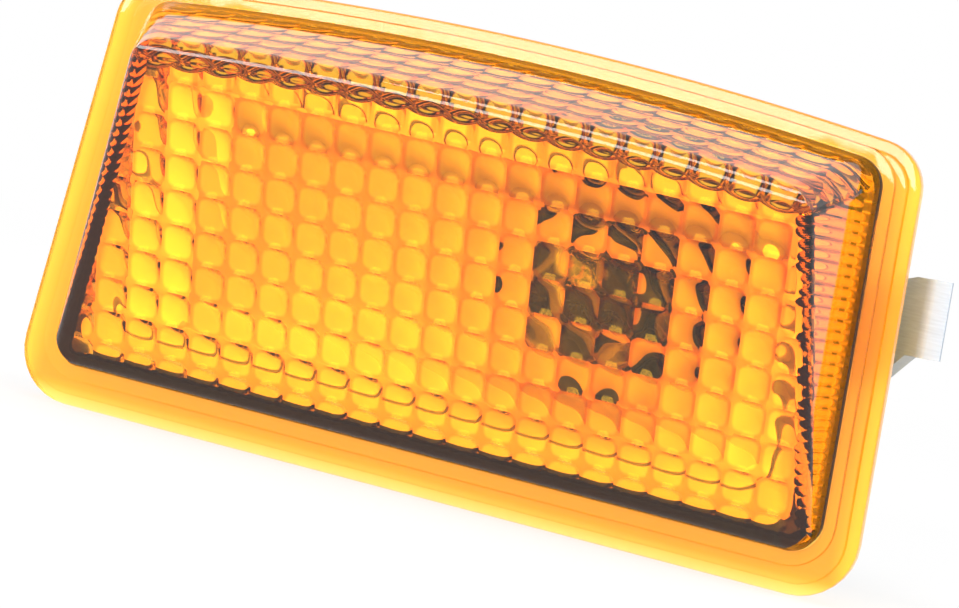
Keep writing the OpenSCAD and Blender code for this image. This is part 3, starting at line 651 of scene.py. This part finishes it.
def pillow_valley_shade(tree, in_mm, origin, along, outward, pitch, start, sag):
    """Painted shade: 1 in the valleys between one wall's pillows and 0 on their crowns and everywhere else.
    """
    from_origin = node(tree, "ShaderNodeVectorMath", {0: in_mm, 1: origin}, operation="SUBTRACT").outputs[0]
    at_x = node(tree, "ShaderNodeSeparateXYZ", {0: in_mm}).outputs["X"]
    up, out = (
        node(tree, "ShaderNodeVectorMath", {0: from_origin, 1: way}, operation="DOT_PRODUCT").outputs["Value"]
        for way in (along, outward)
    )
    far = []
    for place, first, size in ((at_x, PILLOW_SHIFT_X, PILLOW_W), (up, start, pitch)):
        moved = node(tree, "ShaderNodeMath", {0: place, 1: first}, operation="SUBTRACT").outputs[0]
        cells = node(tree, "ShaderNodeMath", {0: moved, 1: size}, operation="DIVIDE").outputs[0]
        share = node(tree, "ShaderNodeMath", {0: cells, 1: 1.0}, operation="FLOORED_MODULO").outputs[0]
        across = node(tree, "ShaderNodeMath", {
            0: share, 1: 2.0, 2: -1.0,
        }, operation="MULTIPLY_ADD").outputs[0]
        far.append(node(tree, "ShaderNodeMath", {0: across, 1: 4.0}, operation="POWER").outputs[0])
    both = node(tree, "ShaderNodeMath", {0: far[0], 1: far[1]}, operation="ADD").outputs[0]
    from_crown = node(tree, "ShaderNodeMath", {0: both, 1: 0.25}, operation="POWER").outputs[0]
    net = node(tree, "ShaderNodeMapRange", {"Value": from_crown, "From Min": VALLEY_SHADE_FROM, "From Max": VALLEY_SHADE_FULL})
    squared = node(tree, "ShaderNodeMath", {0: at_x, 1: at_x}, operation="MULTIPLY").outputs[0]
    level = node(tree, "ShaderNodeMath", {0: squared, 1: sag, 2: out}, operation="MULTIPLY_ADD").outputs[0]
    near = node(tree, "ShaderNodeMath", {0: level, 1: -0.6, 2: 0.9}, operation="COMPARE").outputs[0]
    return node(tree, "ShaderNodeMath", {0: net.outputs[0], 1: near}, operation="MULTIPLY").outputs[0]


def inside_of(tree, in_mm, planes, start, full):
    """Rises from 0 to 1 towards the nearest of some planes, between two depths behind them."""
    shares = []
    for out, at in planes:
        from_plane = node(tree, "ShaderNodeVectorMath", {0: in_mm, 1: at}, operation="SUBTRACT").outputs[0]
        above = node(tree, "ShaderNodeVectorMath", {
            0: from_plane, 1: out,
        }, operation="DOT_PRODUCT").outputs["Value"]
        shares.append(node(tree, "ShaderNodeMapRange", {
            "Value": above, "From Min": -start, "From Max": -full,
        }).outputs[0])
    nearest = shares[0]
    for share in shares[1:]:
        nearest = node(tree, "ShaderNodeMath", {0: nearest, 1: share}, operation="MAXIMUM").outputs[0]
    return nearest


def amber_acrylic():
    """Clear amber acrylic, moulded and polished: yellow pillows in an orange net of painted shade, end walls
    with painted shade, a painted highlight on the paler rim, a painted floor reflection on the lower edge,
    matt seat.
    """
    material, tree, shader, in_mm = finish_of("Moulded amber acrylic")
    shader.inputs["IOR"].default_value = 1.49
    flow = node(tree, "ShaderNodeTexNoise", {"Vector": in_mm, "Scale": 1 / 6, "Detail": 2.0}).outputs[0]
    polish = node(tree, "ShaderNodeMapRange", {
        "Value": flow, "From Min": 0.3, "From Max": 0.7, "To Min": 0.015, "To Max": 0.05,
    })
    depth = node(tree, "ShaderNodeSeparateXYZ", {0: in_mm}).outputs["Y"]
    at_flange = node(tree, "ShaderNodeMapRange", {
        "Value": depth, "From Min": -FLANGE_T - FOOT_STEP_H, "From Max": -FLANGE_T + 0.3,
    })
    lean = tan(SIDE_LEAN)
    sides = tuple((unit([way, 0, lean]), np.array([way * FLANGE_W / 2, 0, 0])) for way in (1, -1))
    bottom = ((np.array([0, 0, -1.0]), np.array([0, 0, -FLANGE_H / 2])),)
    # Painted highlight: the flange turns paler along its outer rim.
    rim = inside_of(tree, in_mm, sides + bottom, *RIM_HIGHLIGHT_FADE)
    # Painted reflection of the floor, paling the flange's lower edge.
    lower_edge_reflection = inside_of(tree, in_mm, bottom, *LOWER_EDGE_REFLECTION_FADE)
    flange = node(tree, "ShaderNodeMix", {
        0: rim, 6: linear(FLANGE_TINT), 7: linear(RIM_HIGHLIGHT_TINT),
    }, data_type="RGBA")
    flange = node(tree, "ShaderNodeMix", {
        0: lower_edge_reflection, 6: flange.outputs[2], 7: linear(LOWER_EDGE_REFLECTION_TINT),
    }, data_type="RGBA")
    body = node(tree, "ShaderNodeMix", {
        0: at_flange.outputs[0], 6: linear(PILLOW_TINT), 7: flange.outputs[2],
    }, data_type="RGBA")
    face_valley_shade = pillow_valley_shade(tree, in_mm, FACE_BACK_P, FACE_UP, FACE_OUT, PILLOW_H, PILLOW_SHIFT_Y, 0.0)
    top_valley_shade = pillow_valley_shade(tree, in_mm, TOP_EDGE, TOP_BACK, CROWN_N, PILLOW_D, TOP_END, TOP_SAG)
    valley_shade = node(tree, "ShaderNodeMath", {0: face_valley_shade, 1: top_valley_shade}, operation="MAXIMUM").outputs[0]
    in_body = node(tree, "ShaderNodeMath", {
        0: depth, 1: -FLANGE_T - FOOT_STEP_H,
    }, operation="LESS_THAN").outputs[0]
    valley_shade = node(tree, "ShaderNodeMath", {0: valley_shade, 1: in_body}, operation="MULTIPLY").outputs[0]
    # Painted shade: the end walls turn deeper orange than the pillows.
    end_walls = ((RIGHT_N, RIGHT_P), (LEFT_N, LEFT_P))
    end_wall_shade = inside_of(tree, in_mm, end_walls, SIDE_WALL + 0.8, SIDE_WALL + 0.2)
    end_wall_shade = node(tree, "ShaderNodeMath", {0: end_wall_shade, 1: in_body}, operation="MULTIPLY").outputs[0]
    # Painted shade: the valleys between the pillows turn deeper orange.
    valley_shaded = node(tree, "ShaderNodeMix", {
        0: valley_shade, 6: body.outputs[2], 7: linear(VALLEY_SHADE_TINT),
    }, data_type="RGBA")
    tint = node(tree, "ShaderNodeMix", {
        0: end_wall_shade, 6: valley_shaded.outputs[2], 7: linear(END_WALL_SHADE_TINT),
    }, data_type="RGBA")
    tree.links.new(tint.outputs[2], shader.inputs["Base Color"])
    at_seat = node(tree, "ShaderNodeMapRange", {
        "Value": depth, "From Min": SEAT_FROM, "From Max": SEAT_FULL, "To Min": 0.0, "To Max": 0.55,
    })
    rough = node(tree, "ShaderNodeMath", {0: polish.outputs[0], 1: at_seat.outputs[0]}, operation="ADD")
    tree.links.new(rough.outputs[0], shader.inputs["Roughness"])
    clarity = node(tree, "ShaderNodeMapRange", {
        "Value": depth, "From Min": SEAT_FROM, "From Max": SEAT_FULL, "To Min": 1.0, "To Max": 0.5,
    })
    tree.links.new(clarity.outputs[0], shader.inputs["Transmission Weight"])
    bump = node(tree, "ShaderNodeBump", {"Height": flow, "Distance": 0.01 * MM})
    tree.links.new(bump.outputs[0], shader.inputs["Normal"])
    end = tree.nodes["Material Output"]
    for_lamps = node(tree, "ShaderNodeLightPath").outputs["Is Shadow Ray"]
    clear = node(tree, "ShaderNodeBsdfTransparent", {"Color": linear(LIGHT_TINT)})
    mix = node(tree, "ShaderNodeMixShader", {0: for_lamps, 1: shader.outputs[0], 2: clear.outputs[0]})
    tree.links.new(mix.outputs[0], end.inputs["Surface"])
    density = max(AMBER_DEPTH)
    colour = [1 - part / density for part in AMBER_DEPTH]
    inside = node(tree, "ShaderNodeVolumeAbsorption", {"Color": (*colour, 1.0), "Density": density / MM})
    tree.links.new(inside.outputs[0], end.inputs["Volume"])
    return material


# Depth of the back of the tub's front ring; what lies before it carries the bright coat
RING_BACK = -0.6


def black_moulding():
    """Black ABS with a fine spark-eroded grain; the ring inside the lens has the tray's bright coat."""
    material, tree, shader, in_mm = finish_of("Moulded black ABS")
    fine = node(tree, "ShaderNodeTexNoise", {"Vector": in_mm, "Scale": 1 / 0.35, "Detail": 3.0}).outputs[0]
    colour = node(tree, "ShaderNodeMix", {
        0: fine, 6: linear("#1C1512"), 7: linear("#33261F"),
    }, data_type="RGBA")
    sheen = node(tree, "ShaderNodeMapRange", {"Value": fine, "To Min": 0.42, "To Max": 0.6})
    bump = node(tree, "ShaderNodeBump", {"Height": fine, "Distance": 0.02 * MM})
    tree.links.new(sheen.outputs[0], shader.inputs["Roughness"])
    tree.links.new(bump.outputs[0], shader.inputs["Normal"])
    depth = node(tree, "ShaderNodeSeparateXYZ", {0: in_mm}).outputs["Y"]
    in_ring = node(tree, "ShaderNodeMath", {0: depth, 1: RING_BACK}, operation="LESS_THAN").outputs[0]
    coated = node(tree, "ShaderNodeMix", {
        0: in_ring, 6: colour.outputs[2], 7: linear("#F4F1EA"),
    }, data_type="RGBA")
    tree.links.new(coated.outputs[2], shader.inputs["Base Color"])
    return material


# How far from the bulb's axis painted shade browns the tray's coat, full near and gone far
BULB_SHADE_NEAR, BULB_SHADE_FAR = 6.0, 19.0


def bright_tray():
    """Metallised plastic tray: bright, slightly rippled, with painted shade that browns it around the bulb.
    """
    material, tree, shader, in_mm = finish_of("Metallised reflector")
    ripple = node(tree, "ShaderNodeTexNoise", {"Vector": in_mm, "Scale": 1 / 3, "Detail": 2.0}).outputs[0]
    colour = node(tree, "ShaderNodeMix", {
        0: ripple, 6: linear("#F6F3EC"), 7: linear("#FFFFFF"),
    }, data_type="RGBA")
    gloss = node(tree, "ShaderNodeMapRange", {"Value": ripple, "To Min": 0.4, "To Max": 0.55})
    bump = node(tree, "ShaderNodeBump", {"Height": ripple, "Distance": 0.12 * MM})
    axis = node(tree, "ShaderNodeVectorMath", {0: in_mm, 1: (1, 0, 1)}, operation="MULTIPLY").outputs[0]
    away = node(tree, "ShaderNodeVectorMath", {
        0: axis, 1: (BULB_X, 0, BULB_Z),
    }, operation="DISTANCE").outputs["Value"]
    # Painted shade: the coat turns browner towards the bulb's axis.
    bloom = node(tree, "ShaderNodeMapRange", {
        "Value": away, "From Min": BULB_SHADE_NEAR, "From Max": BULB_SHADE_FAR, "To Min": 0.75, "To Max": 0.0,
    })
    warm = node(tree, "ShaderNodeMix", {
        0: bloom.outputs[0], 6: colour.outputs[2], 7: linear("#C98A45"),
    }, data_type="RGBA")
    tree.links.new(warm.outputs[2], shader.inputs["Base Color"])
    shader.inputs["Metallic"].default_value = 0.3
    tree.links.new(gloss.outputs[0], shader.inputs["Roughness"])
    tree.links.new(bump.outputs[0], shader.inputs["Normal"])
    return material


def black_rubber():
    """Black rubber, moulded: matt with a dusty bloom."""
    material, tree, shader, in_mm = finish_of("Moulded black rubber")
    bloom = node(tree, "ShaderNodeTexNoise", {"Vector": in_mm, "Scale": 1 / 1.2, "Detail": 4.0}).outputs[0]
    colour = node(tree, "ShaderNodeMix", {
        0: bloom, 6: linear("#1A1411"), 7: linear("#332A25"),
    }, data_type="RGBA")
    matt = node(tree, "ShaderNodeMapRange", {"Value": bloom, "To Min": 0.65, "To Max": 0.9})
    bump = node(tree, "ShaderNodeBump", {"Height": bloom, "Distance": 0.03 * MM})
    tree.links.new(colour.outputs[2], shader.inputs["Base Color"])
    tree.links.new(matt.outputs[0], shader.inputs["Roughness"])
    tree.links.new(bump.outputs[0], shader.inputs["Normal"])
    return material


def clear_glass():
    """Soda-lime bulb glass, blown and pinched: clear, with faint waves."""
    material, tree, shader, in_mm = finish_of("Blown bulb glass")
    waves = node(tree, "ShaderNodeTexNoise", {"Vector": in_mm, "Scale": 1 / 4, "Detail": 2.0}).outputs[0]
    shader.inputs["Base Color"].default_value = linear("#FBFCFA")
    shader.inputs["Transmission Weight"].default_value = 1.0
    shader.inputs["IOR"].default_value = 1.52
    polish = node(tree, "ShaderNodeMapRange", {"Value": waves, "To Min": 0.0, "To Max": 0.03})
    bump = node(tree, "ShaderNodeBump", {"Height": waves, "Distance": 0.02 * MM})
    tree.links.new(polish.outputs[0], shader.inputs["Roughness"])
    tree.links.new(bump.outputs[0], shader.inputs["Normal"])
    return material


def drawn_metal(name, dark, bright, roughness, lines_per_mm, metallic=1.0):
    """Drawn or stamped metal: fine lines along its length."""
    material, tree, shader, in_mm = finish_of(name)
    stretched = node(tree, "ShaderNodeMapping", {"Vector": in_mm, "Scale": lines_per_mm}).outputs[0]
    lines = node(tree, "ShaderNodeTexNoise", {"Vector": stretched, "Scale": 1.0, "Detail": 3.0}).outputs[0]
    colour = node(tree, "ShaderNodeMix", {0: lines, 6: linear(dark), 7: linear(bright)}, data_type="RGBA")
    gloss = node(tree, "ShaderNodeMapRange", {
        "Value": lines, "To Min": roughness - 0.08, "To Max": roughness + 0.1,
    })
    bump = node(tree, "ShaderNodeBump", {"Height": lines, "Distance": 0.005 * MM})
    tree.links.new(colour.outputs[2], shader.inputs["Base Color"])
    shader.inputs["Metallic"].default_value = metallic
    tree.links.new(gloss.outputs[0], shader.inputs["Roughness"])
    tree.links.new(bump.outputs[0], shader.inputs["Normal"])
    return material


def holder_nylon():
    """Black heat-resistant nylon with glass fibre: slightly glossy, with faint flow marks."""
    material, tree, shader, in_mm = finish_of("Glass-filled nylon")
    flow = node(tree, "ShaderNodeTexNoise", {"Vector": in_mm, "Scale": 1 / 2.5, "Detail": 3.0}).outputs[0]
    colour = node(tree, "ShaderNodeMix", {
        0: flow, 6: linear("#1B1B1C"), 7: linear("#313030"),
    }, data_type="RGBA")
    gloss = node(tree, "ShaderNodeMapRange", {"Value": flow, "To Min": 0.32, "To Max": 0.5})
    bump = node(tree, "ShaderNodeBump", {"Height": flow, "Distance": 0.02 * MM})
    tree.links.new(colour.outputs[2], shader.inputs["Base Color"])
    tree.links.new(gloss.outputs[0], shader.inputs["Roughness"])
    tree.links.new(bump.outputs[0], shader.inputs["Normal"])
    return material


amber = amber_acrylic()
black = black_moulding()
tray = bright_tray()
rubber = black_rubber()
glass_finish = clear_glass()
nylon = holder_nylon()
brass = drawn_metal("Stamped brass", "#A9843F", "#E0BC6E", 0.3, (0.6, 6.0, 6.0))
spring = drawn_metal("Satin zinc on rolled spring strip", "#A9B8C6", "#CCDAE8", 0.5, (0.5, 0.5, 6.0), 0.15)
tungsten = drawn_metal("Drawn tungsten wire", "#5C5A58", "#8E8B86", 0.4, (4.0, 4.0, 4.0))
nickel = drawn_metal("Nickel lead wire", "#9C9890", "#CFCBC2", 0.3, (3.0, 0.5, 3.0))


def dress(thing, material):
    thing.data.materials.clear()
    thing.data.materials.append(material)


dress(lens, amber)
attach(lens, "root")
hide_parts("lens")

glass, leads, filament, bead = bulb_pieces()
lead_pair = joined("bulb_leads", leads)
bead.name = "bulb_bead"
for piece, finish in ((glass, glass_finish), (lead_pair, nickel), (filament, tungsten), (bead, glass_finish)):
    dress(piece, finish)
    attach(piece, "root")
for piece in (lead_pair, filament, bead):
    smooth_by_angle(piece, 50)
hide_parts("bulb")

for name, finish in (
    ("housing", black), ("reflector", tray), ("panel_gasket", rubber), ("bulb_holder", nylon),
    ("holder_seal", rubber), ("contact_feed", brass), ("contact_earth", brass), ("spring_clip", spring),
):
    slots = nodes[name].material_slots
    for s in slots:
        s.material = finish
    if not slots:
        nodes[name].data.materials.append(finish)

# Camera at the photograph's place, worked out from the flange's corners and the pillow grid
SENSOR_W = 36
FOCAL_PX, PICTURE_W = 3263, 959
CAMERA_AT = np.array((76.49, -268.53, 11.16))
camera_data = bpy.data.cameras.new("camera")
camera_data.sensor_width = SENSOR_W
camera_data.lens = SENSOR_W * FOCAL_PX / PICTURE_W
camera_data.clip_start, camera_data.clip_end = 0.01, 50
camera = bpy.data.objects.new("camera", camera_data)
scene.collection.objects.link(camera)
right = unit((0.9356, 0.2728, 0.2241))
down = unit((0.2293, 0.0133, -0.9733))
forward = unit(np.cross(right, down))
right = np.cross(down, forward)
place = np.eye(4)
place[:3, 0], place[:3, 1], place[:3, 2] = right, -down, -forward
place[:3, 3] = CAMERA_AT * MM
camera.matrix_world = Matrix(place)
scene.camera = camera


def softbox(name, towards, distance, width, height, radiance):
    """A soft lamp that faces the lamp from a direction; its power follows from how bright it looks."""
    data = bpy.data.lights.new(name, "AREA")
    data.shape = "RECTANGLE"
    data.size, data.size_y = width, height
    data.energy = radiance * math.pi * width * height
    lamp = bpy.data.objects.new(name, data)
    scene.collection.objects.link(lamp)
    direction = Vector(unit(towards))
    lamp.location = direction * distance
    lamp.rotation_mode = "QUATERNION"
    lamp.rotation_quaternion = direction.to_track_quat("Z", "Y")


softbox("overhead softbox", (0.1, -0.35, 0.93), 1.0, 0.9, 0.35, 9.0)
softbox("front softbox", (-0.27, -0.94, 0.22), 1.2, 0.7, 0.45, 10.0)

WHITE = (1.0, 1.0, 1.0, 1.0)
# How strongly the white room lights matt surfaces; where it is seen it is plain white
ROOM_LIGHT = 0.45


def seen_plainly(tree):
    """1 for rays that show the background: from the camera, or by way of metal or glass."""
    path = node(tree, "ShaderNodeLightPath").outputs
    seen = path["Is Camera Ray"]
    for way in ("Is Glossy Ray", "Is Transmission Ray"):
        seen = node(tree, "ShaderNodeMath", {0: seen, 1: path[way]}, operation="MAXIMUM").outputs[0]
    return seen


world = bpy.data.worlds.new("studio")
world.use_nodes = True
scene.world = world
tree = world.node_tree
plain = tree.nodes["Background"]
plain.inputs["Color"].default_value = WHITE
plain.inputs["Strength"].default_value = ROOM_LIGHT
bright = node(tree, "ShaderNodeBackground", {"Color": WHITE, "Strength": 1.0})
mix = node(tree, "ShaderNodeMixShader", {0: seen_plainly(tree), 1: plain.outputs[0], 2: bright.outputs[0]})
tree.links.new(mix.outputs[0], tree.nodes["World Output"].inputs["Surface"])

# The floor, in metres: half its width, its gap below the lamp, and where its shadow begins and ends to fade
FLOOR_REACH, FLOOR_GAP = 6.0, 0.0002
SHADE_FROM, SHADE_TO = 0.1, 0.35
floor_mesh = bpy.data.meshes.new("floor")
low = float(cad_low[2]) - FLOOR_GAP
corners = [(x * FLOOR_REACH, y * FLOOR_REACH, low) for x, y in ((-1, -1), (1, -1), (1, 1), (-1, 1))]
floor_mesh.from_pydata(corners, [], [(0, 1, 2, 3)])
floor = bpy.data.objects.new("floor", floor_mesh)
scene.collection.objects.link(floor)
sheet = bpy.data.materials.new("White paper sweep")
sheet.use_nodes = True
tree = sheet.node_tree
paper = tree.nodes["Principled BSDF"]
paper.inputs["Base Color"].default_value = linear("#F2F2F2")
paper.inputs["Roughness"].default_value = 0.9
glow = node(tree, "ShaderNodeEmission", {"Color": WHITE, "Strength": 1.0})
coordinates = node(tree, "ShaderNodeTexCoord").outputs["Object"]
away = node(tree, "ShaderNodeVectorMath", {0: coordinates}, operation="LENGTH").outputs["Value"]
share = node(tree, "ShaderNodeMapRange", {
    "Value": away, "From Min": SHADE_FROM, "From Max": SHADE_TO, "To Min": 0.8, "To Max": 1.0,
}).outputs[0]
share = node(tree, "ShaderNodeMath", {0: share, 1: seen_plainly(tree)}, operation="MULTIPLY").outputs[0]
mix = node(tree, "ShaderNodeMixShader", {0: share, 1: paper.outputs[0], 2: glow.outputs[0]})
tree.links.new(mix.outputs[0], tree.nodes["Material Output"].inputs["Surface"])
floor_mesh.materials.append(sheet)

scene.view_settings.view_transform = "Standard"
scene.cycles.max_bounces = 6
scene.cycles.adaptive_threshold = 0.1
